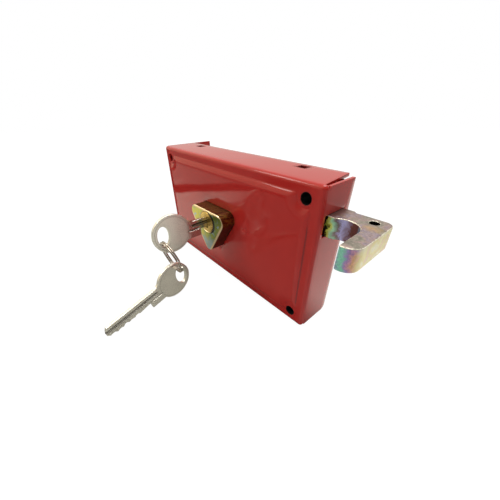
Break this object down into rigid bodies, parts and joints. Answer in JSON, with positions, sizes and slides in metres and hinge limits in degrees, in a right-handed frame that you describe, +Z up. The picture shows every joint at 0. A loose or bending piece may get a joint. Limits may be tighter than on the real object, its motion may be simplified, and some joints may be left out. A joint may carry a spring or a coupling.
{
  "type": "surface-mounted hook bolt lock",
  "caption": "Surface-mounted door lock: a folded steel case, a sliding hook bolt driven by a pin tumbler cylinder through rack and pinion, and keys on a split ring.",
  "frame": {"origin": "centre of the four fixing holes, on the plane that meets the door", "axes": "+X along the case towards the hook, +Y from the front to the door, +Z up"},
  "size_m": [0.1625, 0.1254, 0.08],
  "materials": {
    "red_enamel": "gloss stove enamel on folded sheet steel",
    "zinc_sheet": "zinc-plated sheet steel",
    "turned_steel": "turned or headed steel, zinc-plated",
    "yellow_zinc": "yellow chromated zinc plate, iridescent",
    "gear_steel": "machined steel, oiled",
    "spring_steel": "blued spring steel",
    "brass": "turned brass",
    "nickel": "worn nickel plate",
    "rivet_steel": "painted rivet heads"
  },
  "bodies": {
    "case": {"case_cover": "red_enamel", "fixing_spacers": "turned_steel", "back_plate": "zinc_sheet", "cylinder_bracket": "zinc_sheet", "bracket_rivets": "rivet_steel", "cylinder_body": "yellow_zinc", "cylinder_screws": "turned_steel", "chamber_strip": "brass", "driver_pins": "brass", "pin_springs": "spring_steel", "slot_guide_plate": "zinc_sheet", "tail_guide": "zinc_sheet", "guide_rivets": "turned_steel", "leaf_spring": "spring_steel", "leaf_rivet": "turned_steel", "tail_bush": "brass"},
    "plug": {"cylinder_plug": "brass", "lower_pins": "brass", "plug_clip": "spring_steel", "drive_pinion": "gear_steel"},
    "bolt": {"hook_bolt": "yellow_zinc", "bolt_rack": "gear_steel", "rack_screws": "turned_steel", "stop_pin": "turned_steel"},
    "key": {"key_1": "nickel"},
    "ring": {"split_ring": "nickel"},
    "spare": {"key_2": "nickel"}
  },
  "joints": [
    {"name": "plug_turn", "type": "hinge", "parent": "case", "child": "plug", "pos_m": [-0.0025, -0.0363, 0.0035], "axis": [0, -1, 0], "range_deg": [0, 180]},
    {"name": "bolt_slide", "type": "slide", "parent": "case", "child": "bolt", "axis": [-1, 0, 0], "range_m": [0, 0.01382]},
    {"name": "key_slide", "type": "slide", "parent": "plug", "child": "key", "axis": [0, -1, 0], "range_m": [0, 0.026]},
    {"name": "ring_swing", "type": "hinge", "parent": "key", "child": "ring", "pos_m": [-0.0025, -0.0656, -0.0014], "axis": [1, 0, 0], "range_deg": [-60, 12]},
    {"name": "spare_key_swing", "type": "hinge", "parent": "ring", "child": "spare", "pos_m": [-0.0025, -0.06088, -0.02186], "axis": [0.9857, 0.1685, 0], "range_deg": [-60, 82]}
  ],
  "couplings": [
    {"joint": "plug_turn", "follows": "bolt_slide", "rad_per_m": 227.27}
  ]
}
